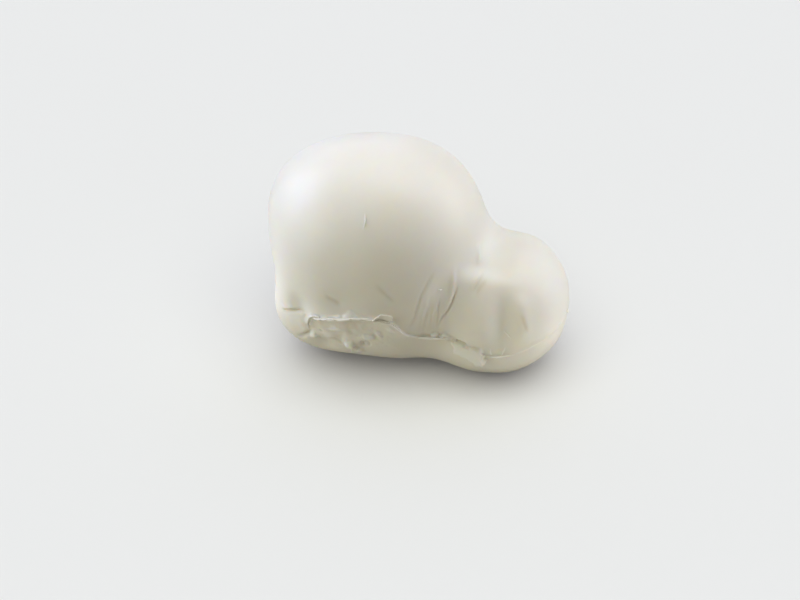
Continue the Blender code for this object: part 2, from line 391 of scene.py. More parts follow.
@dataclass(frozen=True)
class Form:
    """Body and head run together, with the sags that handling and rest have given them."""

    body: Lump = Lump((-15.7, 0.0, 41.5), (43.2, 42.0, 44.0), 2.2)
    head: Lump = Lump((32.9, 0.0, 24.4), (26.8, 28.2, 25.4), 2.15)
    neck_blend: float = 12.0
    spine_rear: tuple = (-15.7, 0.0, 33.0)
    spine_front: tuple = (32.9, 0.0, 25.5)
    spine_turnover: float = 0.75
    spine_ease: float = 0.6
    farthest_skin: float = 110.0
    halvings: int = 30
    probe: float = 0.05
    settle_rounds: int = 12
    settle_step: float = 0.8
    sags: tuple = (
        Dab((19.9, 19.8, 52.8), 18.0, -1.4),  # shoulder, drawn in above the neck
        Dab((-52.1, 4.4, 63.7), 18.0, 2.7),  # upper rear, swollen
        Dab((-55.0, -16.7, 34.2), 18.0, -6.0),  # rear wall, pressed flat
        Dab((-45.2, -23.4, 19.8), 16.0, 3.5),  # heel
        Dab((-12.2, -23.4, 4.6), 18.0, -3.2),  # belly, lifted from the floor
        Dab((18.3, -22.0, 6.0), 13.0, 0.8),  # root of the neck
        Dab((35.3, -20.0, 5.0), 13.0, -1.3),  # throat, under the front of the head
        Dab((-26.6, 20.5, 75.2), 22.0, -1.6),  # crown, settled
        Dab((37.3, 17.0, 45.0), 14.0, 2.6),  # crown of the head
        Dab((59.3, 5.0, 22.0), 13.0, -0.9),  # tip of the head
        Dab((51.3, -8.7, 5.5), 13.0, -2.2),  # underside of the head
    )

    def distance(self, points: Array) -> Array:
        """The lesser of the two lumps' distances, lowered where they are nearly equal.

        Args:
            points: Places in millimetres, three to a row.

        Returns:
            The distance of each place, negative inside.
        """
        body = self.body.distance(points)
        head = self.head.distance(points)
        near = np.clip(self.neck_blend - np.abs(body - head), 0.0, None) / self.neck_blend
        return np.minimum(body, head) - near * near * self.neck_blend / 4.0

    def outward(self, points: Array) -> Array:
        """Unit direction in which the form's distance grows fastest.

        Args:
            points: Places in millimetres, three to a row.

        Returns:
            One unit direction for each place.
        """
        slope = np.empty_like(points)
        for axis in range(3):
            shift = np.zeros(3)
            shift[axis] = self.probe
            slope[..., axis] = self.distance(points + shift) - self.distance(points - shift)
        return unit(slope)

    def cast(self, starts: Array, rays: Array) -> Array:
        """Where rays from inside leave the form, found by halving the interval.

        Args:
            starts: Places inside the form.
            rays: Unit directions.

        Returns:
            The places on the bare form.
        """
        low = np.zeros(starts.shape[:-1])
        high = np.full(starts.shape[:-1], self.farthest_skin)
        for _ in range(self.halvings):
            middle = (low + high) / 2.0
            inside = self.distance(starts + rays * middle[..., None]) < 0.0
            low = np.where(inside, middle, low)
            high = np.where(inside, high, middle)
        return starts + rays * low[..., None]

    def bare(self, polar: Array, turn: Array) -> Array:
        """The bare form as a function of two angles.

        The ray's start moves along the spine from rear to front as polar falls, and the
        ray points to (cos polar, -sin polar cos turn, sin polar sin turn).

        Args:
            polar: Angle from +X.
            turn: Angle round X, from -Y towards +Z.

        Returns:
            The places where the rays leave the form.
        """
        forward = smooth_step((self.spine_turnover - polar / math.pi) / self.spine_ease)
        rear = np.array(self.spine_rear)
        starts = rear + (np.array(self.spine_front) - rear) * forward[..., None]
        rays = (np.cos(polar), -np.sin(polar) * np.cos(turn), np.sin(polar) * np.sin(turn))
        return self.cast(starts, np.stack(rays, axis=-1))

    def settle(self, points: Array) -> Array:
        """Bring places near the form onto it, by stepping back along the outward direction.

        Args:
            points: Places in millimetres, three to a row.

        Returns:
            The places on the form.
        """
        for _ in range(self.settle_rounds):
            step = self.settle_step * self.outward(points)
            points = points - step * self.distance(points)[..., None]
        return points


class Side(Enum):
    """The two sides of the cheese, by the turn at which the seam lies near them."""

    NEAR = 0.0
    FAR = math.pi


@dataclass(frozen=True)
class Seam:
    """The mould seam: its height against X on both sides, and how its lip stands."""

    near: tuple = (
        (-60.0, 32.0), (-40.0, 31.5), (-28.0, 32.5), (-20.0, 34.5), (-11.0, 36.7), (-3.0, 36.6),
        (2.5, 35.0), (7.0, 29.2), (12.0, 26.4), (20.0, 25.0), (30.0, 24.2), (36.5, 20.6),
        (42.0, 20.6), (48.0, 22.8), (54.0, 25.2), (60.0, 26.5),
    )
    far: tuple = (
        (-60.0, 32.0), (-40.0, 33.5), (-15.0, 36.5), (3.0, 34.0), (14.0, 27.5), (26.0, 24.0),
        (42.0, 22.0), (54.0, 24.5), (60.0, 26.5),
    )
    side_width: float = 24.0
    lip_near: tuple = (
        (-60.0, 0.2), (-38.0, 0.12), (-29.0, 0.15), (-25.5, 0.8), (-23.0, 1.0), (2.0, 1.0),
        (10.0, 0.55), (22.0, 0.5), (25.0, 0.12), (33.0, 0.12), (37.0, 0.35), (48.0, 0.2),
        (60.0, 0.2),
    )
    lip_far: tuple = (
        (-60.0, 0.2), (-35.0, 0.5), (-10.0, 0.9), (14.0, 0.5), (50.0, 0.2), (60.0, 0.02),
    )
    lip_height: float = 0.8
    lip_width: float = 0.7
    recess_depth: float = 1.3
    recess_start: float = 1.0
    recess_reach: float = 9.0
    ripples: tuple = ((0.3, 0.61, 0.35), (0.25, 1.43, -0.8))
    turn_rounds: int = 8
    turn_step: float = 0.8
    least_reach: float = 2.0
    steepest_turn: float = 0.6

    def far_share(self, points: Array) -> Array:
        """0 on the near side, 1 on the far side, passing smoothly between them."""
        return smooth_step(0.5 + points[..., 1] / self.side_width)

    def mixed(self, near: tuple, far: tuple, points: Array) -> Array:
        """The near and far curves at each point's X, weighed by the side it is on.

        Args:
            near: Knots of the near side's curve.
            far: Knots of the far side's curve.
            points: Places in millimetres, three to a row.

        Returns:
            The weighed value at each point.
        """
        share = self.far_share(points)
        x = points[..., 0]
        return along_knots(near, x) * (1.0 - share) + along_knots(far, x) * share

    def above(self, points: Array) -> Array:
        """Height of each point above the seam, negative below it."""
        return points[..., 2] - self.mixed(self.near, self.far, points)

    def strength(self, points: Array) -> Array:
        """How strongly the lip stands at each point, from 0 to 1."""
        return self.mixed(self.lip_near, self.lip_far, points)

    def turn(self, form: Form, polar: Array, side: Side) -> Array:
        """The turn at which each ring meets the seam on one side.

        From the skin at the guessed turn, the angle that the seam's height still asks for
        is added, a few times over.

        Args:
            form: The cheese's form.
            polar: Each ring's polar angle.
            side: The side to look on.

        Returns:
            The turn for each ring.
        """
        upward = math.cos(side.value)
        turn = np.full(polar.shape, side.value)
        for _ in range(self.turn_rounds):
            points = form.bare(polar, turn)
            reach = np.maximum(np.abs(points[..., 1]), self.least_reach)
            turn = turn - upward * self.above(points) / reach * self.turn_step
            steepest = self.steepest_turn
            turn = np.clip(turn, side.value - steepest, side.value + steepest)
        return turn

    def rise(self, points: Array) -> Array:
        """A low ridge along the seam, and the lower half set back under it.

        The ridge is a bell curve of the height above the seam, made ragged by sine waves
        over X and Y; the set-back starts at the seam and fades downwards.

        Args:
            points: Places in millimetres, three to a row.

        Returns:
            The rise at each place.
        """
        above = self.above(points)
        ragged = 1.0
        for height, over_x, over_y in self.ripples:
            ragged = ragged + height * np.sin(over_x * points[..., 0] + over_y * points[..., 1])
        ridge = self.lip_height * ragged * np.exp(-((above / self.lip_width) ** 2))
        started = smooth_step(-above / self.recess_start)
        set_back = started * np.exp(-((above / self.recess_reach) ** 2))
        strength = self.strength(points)
        return strength * ridge - strength**2 * self.recess_depth * set_back


@dataclass(frozen=True)
class Relief:
    """Everything that stands on the form or is pressed into it, apart from loose pieces."""

    form: Form
    seam: Seam
    swellings: tuple = (
        Dab((-21.0, -40.4, 28.4), 5.5, 1.0),  # pale bulge in the left of the torn band
        Dab((-3.0, -40.2, 31.6), 5.5, -0.9),  # hollow under the lip's right part
        Dab((-10.0, -41.2, 32.0), 4.5, -0.7),
        Dab((-25.6, -35.4, 17.4), 5.0, -2.2),  # undercut beside the heel
        Dab((-33.6, -38.8, 34.8), 5.5, -1.6),  # dimple over the heel
        Dab((-13.4, -38.4, 23.2), 4.0, 0.7),
        Dab((30.0, -28.3, 26.5), 7.0, 0.8),  # the head's lower left shoulder
    )
    crags: tuple = (
        Crag((-29.0, 22.4), (2.8, 2.1), 1.1, 0.5, edge=0.55, slope=0.3),
        Crag((-13.2, 22.2), (2.0, 1.8), 1.3, -0.3, edge=0.5, ragged=0.5, slope=0.3),
        Crag((-11.2, 19.2), (2.4, 1.5), 0.8, -0.6, edge=0.5, ragged=0.5, slope=0.3),
        Crag((-8.0, 23.2), (2.5, 2.3), -1.3, 0.3, edge=0.55, ragged=0.5),
        Crag((-7.6, 22.6), (1.1, 1.0), 1.3, 0.0, edge=0.7),
        Crag((-6.4, 27.0), (2.6, 1.3), 0.8, 0.1, edge=0.5, ragged=0.5, slope=0.3),
        Crag((-2.4, 28.2), (2.6, 1.1), 0.55, -0.9, edge=0.6, ragged=0.5, slope=0.3),
        Crag((-24.6, 26.7), (1.0, 0.6), -0.9, 0.0),
        Crag((-19.4, 29.0), (3.4, 1.6), 0.35, 0.2, edge=0.7, ragged=0.5, slope=0.3),
        Crag((-16.9, 21.2), (2.0, 1.2), -0.5, -0.5, edge=0.7),
        Crag((1.8, 30.4), (2.6, 1.0), 0.25, -0.5, edge=0.8),
        Crag((16.4, 27.2), (2.2, 1.0), 1.0, 0.1, edge=0.5, ragged=0.7, slope=0.3),
        Crag((18.6, 26.4), (1.0, 0.8), 0.7, 0.0, edge=0.6, ragged=0.7),
        Crag((20.8, 26.4), (2.8, 1.2), 1.0, -0.25, edge=0.7, ragged=0.4),
    )
    slabs: tuple = (
        # The torn flap under the throat.
        Slab(((21.6, 24.8), (22.4, 22.4), (23.3, 19.7), (26.4, 19.9), (29.4, 18.8), (32.4, 17.6),
            (35.2, 18.0), (35.2, 21.4), (34.2, 23.6), (32.6, 24.2), (28.8, 23.8), (26.8, 24.3)),
            -0.3, 3.8, 0.7, 0.7, bend=0.7),
        # The veil of curd that lies on the skin over the lip, and a tooth beside it.
        Slab(((-15.4, 36.2), (-13.2, 39.6), (-11.2, 39.3), (-9.6, 38.0), (-7.4, 36.4)), 0.2, 0.5,
            0.5, 0.15),
        Slab(((-18.6, 35.2), (-16.2, 37.2), (-15.2, 35.8)), 0.3, 0.6, 0.5, 0.1),
    )
    folds: tuple = (
        # The lip's end, curled down beside the heel.
        Fold(((-26.0, -40.6, 33.2), (-28.8, -39.6, 31.0), (-29.6, -38.6, 26.6)), 1.3, -0.9),
        # The tear between the heel and the torn band.
        Fold(((-37.0, -32.4, 16.0), (-33.0, -35.4, 19.8), (-28.0, -38.5, 25.2)), 0.8, 1.5),
        # The heel's line, and the pale groove above the lip's end.
        Fold(((-43.0, -33.0, 28.0), (-36.3, -37.3, 31.0), (-30.6, -39.7, 33.6)), 0.7, 0.7),
        Fold(((-43.0, -33.4, 29.6), (-36.6, -37.6, 32.4)), 0.9, -0.35),
        # The soft ridge that runs down through the torn band, and a bowed line under it.
        Fold(((-18.8, -41.3, 33.6), (-16.2, -41.2, 31.0), (-14.6, -40.7, 28.4),
            (-13.3, -39.0, 24.0)), 1.6, -0.3),
        Fold(((-20.6, -39.2, 24.4), (-18.4, -38.4, 22.8), (-17.2, -37.4, 20.8)), 0.6, 0.5, 0.2),
        # The shallow hollow over the lip, where the halves were pressed together.
        Fold(((-26.0, -40.6, 41.6), (-6.0, -41.4, 43.6), (14.0, -34.0, 41.0)), 5.5, 1.1),
        # Short slanting creases on the body.
        Fold(((-22.4, -41.8, 43.8), (-18.6, -42.0, 42.4), (-15.4, -42.0, 40.6)), 0.75, 0.4),
        Fold(((-3.6, -39.9, 52.0), (0.2, -39.4, 48.0), (4.4, -38.4, 43.4)), 0.8, 0.22),
        # The folds that wrap the neck: two outer edges, an inner one, and the ridge.
        Fold(((16.2, -28.6, 55.0), (13.8, -31.7, 50.3), (12.0, -33.8, 45.7), (10.1, -35.0, 36.5),
            (7.4, -35.9, 30.4)), 0.5, 0.32, 0.2),
        Fold(((17.8, -28.8, 43.0), (17.6, -29.6, 38.6), (17.5, -29.8, 35.0), (16.6, -30.0, 29.0)),
            0.5, 0.3),
        Fold(((22.6, -23.4, 47.0), (22.4, -25.2, 43.4), (21.7, -26.7, 40.0), (20.6, -27.8, 37.2),
            (18.9, -28.8, 34.6), (17.4, -29.5, 31.0), (16.9, -29.6, 28.4)), 0.5, 0.75, 0.3),
        Fold(((20.6, -22.0, 54.0), (21.3, -25.4, 44.8), (20.2, -27.3, 39.6), (18.2, -28.8, 35.8)),
            1.0, -0.45),
        Fold(((18.8, -25.6, 52.0), (16.3, -30.6, 42.0), (12.8, -32.0, 32.0)), 4.6, 0.4),
        # The head's root, swollen where it meets that fold.
        Fold(((23.6, -19.0, 54.0), (24.4, -24.5, 43.0), (25.0, -27.8, 31.0), (25.2, -28.0, 25.0)),
            4.0, -0.6, 0.25),
        Fold(((30.5, -15.5, 52.5), (32.2, -21.5, 43.5), (33.4, -26.6, 33.5), (33.8, -28.2, 24.5)),
            7.5, -1.8, 0.25),
        # Pinches and creases of the head.
        Fold(((25.6, -7.1, 56.3), (27.0, -9.9, 53.2), (27.9, -14.0, 50.3)), 0.9, -0.4),
        Fold(((29.6, -15.6, 48.4), (28.0, -19.4, 45.8), (26.6, -22.4, 43.2)), 0.7, -0.25),
        Fold(((30.4, -15.8, 48.2), (29.0, -19.4, 45.4), (27.8, -22.4, 42.8)), 0.7, 0.22),
        Fold(((32.2, -17.0, 46.6), (30.0, -20.5, 43.9), (29.4, -22.4, 42.0)), 0.7, 0.16),
        Fold(((37.2, -16.0, 45.5), (38.8, -20.5, 40.0), (40.2, -24.8, 33.5), (40.7, -26.8, 27.0),
            (40.5, -27.0, 18.0)), 4.6, 3.0, 0.48),
        Fold(((46.2, -21.2, 37.6), (47.8, -22.2, 33.8), (49.2, -22.6, 30.2)), 0.7, 0.27),
        Fold(((44.5, -15.5, 43.0), (46.0, -20.5, 37.5), (47.6, -22.5, 31.0), (47.8, -22.8, 25.0)),
            3.4, -0.8),
        # The smooth end of the lip, raised along the head's seam as far as the tip.
        Fold(((44.6, -25.7, 21.4), (48.0, -24.0, 22.8), (52.0, -20.8, 24.5), (56.0, -15.3, 25.7),
            (58.6, -8.9, 26.2), (59.4, -2.0, 26.4)), 0.8, -0.25, 0.2),
        # The slit over the torn flap.
        Fold(((23.6, -27.9, 25.3), (26.0, -27.9, 24.9), (28.4, -28.0, 24.3)), 0.45, 1.6, 0.2),
        # The neck's folds where they wrap its far side.
        Fold(((18.0, 26.0, 52.0), (13.6, 32.0, 43.0), (10.0, 34.5, 33.0)), 0.9, 0.9),
        Fold(((24.6, 20.5, 49.0), (23.4, 25.0, 40.0), (20.0, 28.6, 30.0)), 0.9, 0.9),
    )
    fibres: Fold = Fold(((16.6, -29.4, 45.0), (14.0, -31.6, 35.0), (12.6, -32.2, 26.0)), 4.2, 0.3)
    pinch_shade: float = 0.75
    fibre_spacing: float = 1.1
    fibre_length: float = 9.0
    grain: Grain = Grain(11)
    swell: float = 0.22
    swell_cell: float = 15.0
    crumb_height: float = 0.4
    crumb_cell: float = 4.2
    torn_from: float = -31.0
    torn_to: float = 0.0
    torn_down: float = 17.0
    torn_edge: float = 6.0
    torn_start: float = 1.2
    widest_crease: float = 2.0
    fibre_slant: tuple = (-0.22, 0.12, 0.0)

    def torn(self, points: Array) -> Array:
        """1 in the torn band under the near side's lip, 0 elsewhere, with soft edges.

        Args:
            points: Places in millimetres, three to a row.

        Returns:
            The share of each place.
        """
        above = self.seam.above(points)
        near = 1.0 - self.seam.far_share(points)
        along = window(points[..., 0], self.torn_from, self.torn_to, self.torn_edge)
        below = smooth_step(-above / self.torn_start)
        reach = smooth_step((above + self.torn_down) / self.torn_edge)
        return near * along * (below * reach)

    def fresh_and_lit(self, points: Array) -> Array:
        """1 on raised lumps and torn patches: paler torn curd and a painted highlight; 0
        elsewhere.

        Args:
            points: Places in millimetres, three to a row.

        Returns:
            The share of each place.
        """
        shown = np.zeros(points.shape[:-1])
        for slab in self.slabs:
            shown = shown + slab.rise(points) / slab.low_height
        for crag in self.crags:
            if crag.height > 0.0:
                shown = shown + crag.rise(points) / crag.height
        return np.clip(shown, 0.0, 1.0)

    def crease_shade_share(self, points: Array) -> Array:
        """Painted shade: 1 at the bottom of the narrow folds, less on the pinched neck, 0
        elsewhere.

        Args:
            points: Places in millimetres, three to a row.

        Returns:
            The share of each place.
        """
        deepest = np.zeros(points.shape[:-1])
        for fold in self.folds:
            if fold.depth > 0.0 and fold.width < self.widest_crease:
                deepest = np.maximum(deepest, fold.closeness(points))
        # Over the pinched neck the painted shade also stands for curd that is thinner and darker
        # there.
        return np.maximum(deepest, self.pinch_shade * self.fibres.closeness(points))

    def fibrous(self, points: Array) -> Array:
        """Fine upright fibres between the neck's folds: noise drawn out along their run.

        Args:
            points: Places in millimetres, three to a row.

        Returns:
            The rise at each place.
        """
        stretch = (1.0 / self.fibre_spacing, 1.0 / self.fibre_spacing, 1.0 / self.fibre_length)
        drawn_out = (points + points[..., 2:] * self.fibre_slant) * stretch
        return self.fibres.depth * self.fibres.closeness(points) * self.grain.at(drawn_out, 1.0)

    def rise(self, points: Array) -> Array:
        """Sum of the seam, the lumps, the folds, the crumb and the skin's gentle swell.

        Args:
            points: Places in millimetres, three to a row.

        Returns:
            The rise at each place.
        """
        total = self.seam.rise(points) + self.fibrous(points)
        for item in self.swellings + self.crags + self.slabs + self.folds:
            total = total + item.rise(points)
        crumb = self.grain.rough(points, self.crumb_cell, layers=4)
        total += self.crumb_height * crumb * self.torn(points)
        return total + self.swell * self.grain.at(points, self.swell_cell)

    def dressed(self, bare: Array, lift: Array | float = 0.0) -> Array:
        """Carry places on the bare form to the finished skin.

        Sags move a place along the outward direction, then the relief does, and what
        would lie under the floor is set flat on it.

        Args:
            bare: Places on the bare form.
            lift: Height over the finished skin, along the outward direction.

        Returns:
            The finished places.
        """
        direction = self.form.outward(bare)
        sag = np.zeros(bare.shape[:-1])
        for dab in self.form.sags:
            sag += dab.rise(bare)
        sagged = bare + direction * sag[..., None]
        height = self.rise(sagged) + lift
        points = sagged + direction * height[..., None]
        points[..., 2] = np.maximum(points[..., 2], 0.0)
        return points


# ---------------------------------------------------------------- meshes


@dataclass(frozen=True)
class Shell:
    """A closed surface made of rings of points in millimetres, each ring a closed loop.

    Neighbouring rings are joined by quads. With poles, a fan closes each end; without
    them, the last ring is joined to the first.
    """

    rings: Array
    poles: Optional[Array] = None

    def points(self) -> Array:
        """All points, ring by ring, and then the poles."""
        flat = self.rings.reshape(-1, 3)
        return flat if self.poles is None else np.concatenate((flat, self.poles))

    def faces(self) -> list:
        """Arrays of quads and triangles, turned outwards by the sign of the volume.

        Returns:
            One array of quads, and with poles one array of triangles for each end.
        """
        count, around, _ = self.rings.shape
        row = np.arange(count if self.poles is None else count - 1)[:, None]
        column = np.arange(around)[None, :]
        after = (row + 1) % count * around
        beside = (column + 1) % around
        corners = (row * around + column, row * around + beside, after + beside, after + column)
        faces = [np.stack(corners, axis=-1).reshape(-1, 4)]
        if self.poles is not None:
            first = count * around
            j = np.arange(around)
            k = (j + 1) % around
            end = (count - 1) * around
            faces.append(np.stack((np.full(around, first), k, j), axis=-1))
            faces.append(np.stack((np.full(around, first + 1), end + j, end + k), axis=-1))
        points = self.points()
        triangles = np.concatenate((faces[0][:, :3], faces[0][:, [0, 2, 3]], *faces[1:]))
        a, b, c = (points[triangles[:, corner]] for corner in range(3))
        inside_out = (np.cross(a, b) * c).sum() < 0.0
        return [face[:, ::-1] for face in faces] if inside_out else faces


def closed_mesh(name: str, shells: list) -> bpy.types.Object:
    """One smooth-shaded mesh object made of closed shells.

    Args:
        name: Name of the mesh and its object.
        shells: The shells.

    Returns:
        The object, linked to the scene.
    """
    points = []
    faces = []
    for shell in shells:
        offset = sum(map(len, points))
        points.append(shell.points())
        faces += [corners for face in shell.faces() for corners in (face + offset).tolist()]
    mesh = bpy.data.meshes.new(name)
    mesh.from_pydata((np.concatenate(points) * MM).tolist(), [], faces)
    mesh.update()
    mesh.shade_smooth()
    item = bpy.data.objects.new(name, mesh)
    bpy.context.scene.collection.objects.link(item)
    return item


def store(item: bpy.types.Object, name: str, values: Array) -> None:
    """Keep one value for each vertex on the mesh, for its material to read."""
    layer = item.data.attributes.new(name=name, type="FLOAT", domain="POINT")
    layer.data.foreach_set("value", values.astype(np.float32).ravel())


def frames(path: Array, outward: Array, closed: bool) -> tuple:
    """Directions carried along a path: forward, outward square to it, and sideways.

    Args:
        path: Points of the path.
        outward: Rough outward direction at each point.
        closed: Whether the path's end meets its start.

    Returns:
        Three arrays of unit directions.
    """
    if closed:
        forward = unit(np.roll(path, -1, axis=0) - np.roll(path, 1, axis=0))
    else:
        forward = unit(np.gradient(path, axis=0))
    outward = unit(outward - (outward * forward).sum(-1, keepdims=True) * forward)
    return forward, outward, np.cross(outward, forward)


CURL_STEPS = 25
RIM_AT = 0.88
RIM_WIDTH = 0.09


def blade(
    path: Array,
    outward: Array,
    height: Array,
    lean: Array,
    curl: Array,
    half: tuple,
    closed: bool,
    drag: float = 0.0,
    rim: float = 0.0,
    around: int = 22,
) -> Shell:
    """A thin blade that stands on a path and curls towards its edge.

    Across the blade, t goes from 0 at the root to 1 at the edge and back along its other
    face. Its middle line leaves the path at the lean's angle over the outward direction
    and bends by the curl on the way, and its thickness falls from root to edge.

    Args:
        path: Points the blade stands on.
        outward: Rough outward direction at each point.
        height: How far the blade reaches from the path.
        lean: Angle at the root, upwards from the outward direction.
        curl: Angle added by the time the edge is reached.
        half: Half its thickness at the root and at the edge.
        closed: Whether the path's end meets its start.
        drag: Shift of the edge along the path, as a share of the height.
        rim: Thickness added by a rolled rim just short of the edge.
        around: Points in a ring.

    Returns:
        The blade, as a loop of rings or closed by a pole at each end.
    """
    forward, out_way, side_way = frames(path, outward, closed)
    up_way = side_way * np.where(side_way[:, 2:] < 0.0, -1.0, 1.0)
    phase = np.arange(around) * math.tau / around
    t = (1.0 - np.cos(phase)) / 2.0
    steps = np.linspace(0.0, 1.0, CURL_STEPS)
    angles = lean[:, None] + curl[:, None] * steps**2
    pick = (t * (CURL_STEPS - 1)).round().astype(int)
    run_out = (np.cumsum(np.cos(angles), axis=1) / CURL_STEPS)[:, pick]
    run_up = (np.cumsum(np.sin(angles), axis=1) / CURL_STEPS)[:, pick]
    rolled = rim * np.exp(-(((t - RIM_AT) / RIM_WIDTH) ** 2))
    thick = np.sin(phase) * (half[0] * (1.0 - t) + half[1] + rolled)
    out = height[:, None] * run_out - np.sin(angles[:, pick]) * thick
    up = height[:, None] * run_up + np.cos(angles[:, pick]) * thick
    along = drag * height[:, None] * t**2
    rings = (
        path[:, None]
        + out[..., None] * out_way[:, None]
        + up[..., None] * up_way[:, None]
        + along[..., None] * forward[:, None]
    )
    return Shell(rings, None if closed else rings[[0, -1]].mean(axis=1))


def strand(
    path: Array, outward: Array, half_width: Array, half_depth: Array, around: int = 12
) -> Shell:
    """An oval tube along an open path, closed by a pole at each end.

    Args:
        path: Points of its middle line.
        outward: Rough outward direction at each point.
        half_width: Half its width, across the path along the skin.
        half_depth: Half its depth, along the outward direction.
        around: Points in a ring.

    Returns:
        The strand.
    """
    _, out_way, side_way = frames(path, outward, closed=False)
    phase = np.arange(around) * math.tau / around
    side = half_width[:, None] * np.cos(phase)
    out = half_depth[:, None] * np.sin(phase)
    rings = path[:, None] + side[..., None] * side_way[:, None] + out[..., None] * out_way[:, None]
    return Shell(rings, path[[0, -1]])


# ---------------------------------------------------------------- finishes


@dataclass
class Net:
    """A node tree being wired, with short calls for adding and feeding nodes."""

    tree: bpy.types.NodeTree

    def feed(self, node: bpy.types.Node, feeds: dict) -> None:
        """Set inputs of a node.

        Args:
            node: The node.
            feeds: Name or number of each input, to its value or to the socket it is linked to.
        """
        for label, value in feeds.items():
            if isinstance(value, Plug):
                self.tree.links.new(value, node.inputs[label])
            else:
                node.inputs[label].default_value = value

    def add(self, kind: str, feeds: Optional[dict] = None, **settings: object) -> bpy.types.Node:
        """Add a shader node.

        Args:
            kind: Its type, as it is called after the word ShaderNode.
            feeds: What its inputs get.
            settings: Its own properties.

        Returns:
            The node.
        """
        node = self.tree.nodes.new("ShaderNode" + kind)
        for key, value in settings.items():
            setattr(node, key, value)
        self.feed(node, feeds or {})
        return node

    def maths(self, operation: str, first: object, second: object) -> Plug:
        """The result of a Math node over sockets or numbers."""
        return self.add("Math", {0: first, 1: second}, operation=operation).outputs[0]

    def blend(self, share: object, first: object, second: object) -> Plug:
        """A colour that passes from the first to the second as the share rises."""
        feeds = {"Factor": share, "A": first, "B": second}
        return self.add("Mix", feeds, data_type="RGBA").outputs["Result"]

    def spread(self, value: object, low: float, high: float, **ends: object) -> Plug:
        """A value stretched from low..high to 0..1, or to ends named To Min and To Max."""
        feeds = {"Value": value, "From Min": low, "From Max": high, **ends}
        return self.add("MapRange", feeds).outputs["Result"]

    def noise(self, place: object, scale: object, detail: float, roughness: float) -> Plug:
        """A noise texture's value between 0 and 1; roughness is the finer layers' strength."""
        feeds = {"Vector": place, "Scale": scale, "Detail": detail, "Roughness": roughness}
        return self.add("TexNoise", feeds).outputs["Fac"]


class Socket(Enum):
    """Kinds of group socket."""

    NUMBER = "NodeSocketFloat"
    COLOUR = "NodeSocketColor"
    VECTOR = "NodeSocketVector"


def new_group(name: str, inputs: dict, outputs: dict) -> tuple:
    """An empty shader node group with named sockets.

    Args:
        name: The group's name.
        inputs: Socket name to its kind.
        outputs: Socket name to its kind.

    Returns:
        The net, the sockets of the group's input by name, and its output node.
    """
    tree = bpy.data.node_groups.new(name, "ShaderNodeTree")
    for way, sockets in (("INPUT", inputs), ("OUTPUT", outputs)):
        for label, kind in sockets.items():
            tree.interface.new_socket(name=label, in_out=way, socket_type=kind.value)
    given = tree.nodes.new("NodeGroupInput").outputs
    return Net(tree), given, tree.nodes.new("NodeGroupOutput")


def mottle_and_light_group() -> bpy.types.NodeTree:
    """Slow drifts of curd colour, painted shade in creases, paler torn curd and painted highlight.

    Returns:
        The group's tree.
    """
    colours = dict.fromkeys(("Pale", "Rich", "Painted Shade", "Torn And Lit"), Socket.COLOUR)
    numbers = dict.fromkeys(("Patch Scale", "Crease Shade", "Fresh And Lit"), Socket.NUMBER)
    inputs = {"Vector": Socket.VECTOR, **colours, **numbers}
    net, given, made = new_group("curd_mottle_and_light", inputs, {"Color": Socket.COLOUR})
    slow = net.noise(given["Vector"], given["Patch Scale"], detail=3.0, roughness=0.5)
    drift = net.blend(net.spread(slow, *DRIFT_SPAN), given["Pale"], given["Rich"])
    # Painted shade darkens the creases and the pinched neck.
    painted_shade = net.blend(given["Crease Shade"], drift, given["Painted Shade"])
    # Paler torn curd, partly a painted highlight on raised lumps and torn patches.
    net.feed(made, {"Color": net.blend(given["Fresh And Lit"], painted_shade, given["Torn And Lit"])})
    return net.tree


def grain_group() -> bpy.types.NodeTree:
    """Curd grain: fibres drawn out along X, and fine pits, as one height.

    Returns:
        The group's tree.
    """
    inputs = {"Vector": Socket.VECTOR, "Fibre Height": Socket.NUMBER, "Pit Height": Socket.NUMBER}
    net, given, made = new_group("curd_grain", inputs, {"Height": Socket.NUMBER})
    place = given["Vector"]
    along = net.add("Mapping", {"Vector": place, "Scale": FIBRE_STRETCH}).outputs["Vector"]
    fibre = net.noise(along, scale=500.0, detail=4.0, roughness=0.6)
    fibres = net.maths("MULTIPLY", fibre, given["Fibre Height"])
    pitted = net.noise(place, scale=900.0, detail=2.0, roughness=0.5)
    pits = net.maths("MULTIPLY", net.maths("POWER", pitted, 0.5), given["Pit Height"])
    net.feed(made, {"Height": net.maths("ADD", fibres, pits)})
    return net.tree


def damp_group() -> bpy.types.NodeTree:
    """Damp patches: roughness drifting between a moist and a dry value.

    Returns:
        The group's tree.
    """
    inputs = {"Vector": Socket.VECTOR, "Moist": Socket.NUMBER, "Dry": Socket.NUMBER}
    net, given, made = new_group("damp_patches", inputs, {"Roughness": Socket.NUMBER})
    patch = net.noise(given["Vector"], scale=60.0, detail=4.0, roughness=0.55)
    ends = {"To Min": given["Moist"], "To Max": given["Dry"]}
    net.feed(made, {"Roughness": net.spread(patch, *DAMP_SPAN, **ends)})
    return net.tree


@dataclass(frozen=True)
class CurdGroups:
    """The shader groups that every curd finish shares, built once."""

    mottle_and_light: bpy.types.NodeTree = field(default_factory=mottle_and_light_group)
    grain: bpy.types.NodeTree = field(default_factory=grain_group)
    damp: bpy.types.NodeTree = field(default_factory=damp_group)


